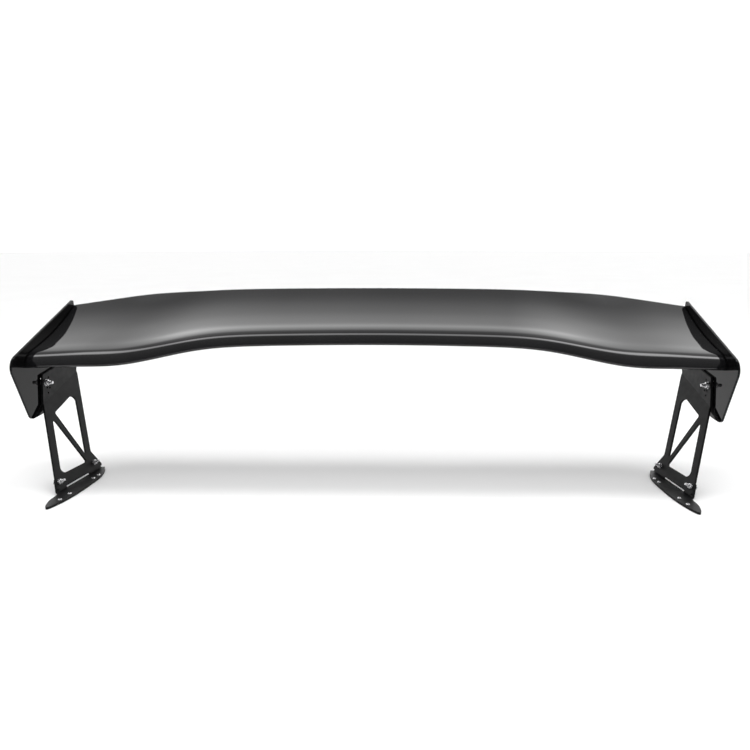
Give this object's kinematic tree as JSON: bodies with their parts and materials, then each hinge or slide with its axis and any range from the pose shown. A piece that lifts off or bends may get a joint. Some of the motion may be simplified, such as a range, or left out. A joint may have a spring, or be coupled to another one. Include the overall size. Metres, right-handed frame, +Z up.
{
  "type": "racing rear wing",
  "caption": "Wide arched rear wing blade with swept side plates, carried on two windowed bent-plate stands with long flat feet; the blade tilts about two pivot bolts.",
  "frame": {"origin": "on the surface that the feet stand on, midway between the stands and midway between toe and trailing edge", "axes": "+X across the car towards its right, +Y towards the car's rear, +Z up"},
  "size_m": [1.5726, 0.3576, 0.4414],
  "materials": {
    "blade_lacquer": "clear gloss lacquer over a black laminate",
    "endplate_lacquer": "gloss black",
    "stand_powder_coat": "satin powder coat on aluminium plate",
    "fastener_steel": "bright stainless steel",
    "inner_aluminium": "as machined",
    "spacer_nylon": "black nylon",
    "bush_brass": "turned",
    "pad_rubber": "matt sheet rubber"
  },
  "bodies": {
    "root": {"stand_right": "stand_powder_coat", "stand_left": "stand_powder_coat", "pivot_bolt_right": "fastener_steel", "pivot_bolt_left": "fastener_steel", "pivot_washers_right": "fastener_steel", "pivot_washers_left": "fastener_steel", "pivot_nut_right": "fastener_steel", "pivot_nut_left": "fastener_steel", "pivot_spacer_right": "spacer_nylon", "pivot_spacer_left": "spacer_nylon", "lock_bolt_right": "fastener_steel", "lock_bolt_left": "fastener_steel", "lock_washers_right": "fastener_steel", "lock_washers_left": "fastener_steel", "lock_nut_right": "fastener_steel", "lock_nut_left": "fastener_steel", "lock_spacer_right": "spacer_nylon", "lock_spacer_left": "spacer_nylon", "leg_bolts_right": "fastener_steel", "leg_bolts_left": "fastener_steel", "leg_washers_right": "fastener_steel", "leg_washers_left": "fastener_steel", "leg_nuts_right": "fastener_steel", "leg_nuts_left": "fastener_steel", "foot_plate_right": "stand_powder_coat", "foot_plate_left": "stand_powder_coat", "foot_pad_right": "pad_rubber", "foot_pad_left": "pad_rubber", "foot_screws_right": "fastener_steel", "foot_screws_left": "fastener_steel"},
    "wing": {"blade_upper_skin": "blade_lacquer", "blade_lower_skin": "blade_lacquer", "front_spar": "inner_aluminium", "rear_spar": "inner_aluminium", "inner_ribs": "inner_aluminium", "end_rib_right": "inner_aluminium", "end_rib_left": "inner_aluminium", "endplate_right": "endplate_lacquer", "endplate_left": "endplate_lacquer", "endplate_screws_right": "fastener_steel", "endplate_screws_left": "fastener_steel", "pivot_bush_right": "bush_brass", "pivot_bush_left": "bush_brass"}
  },
  "joints": [
    {"name": "angle_of_attack", "type": "hinge", "parent": "root", "child": "wing", "pos_m": [0, 0.1125, 0.276], "axis": [1, 0, 0], "range_deg": [-5, 5]}
  ]
}
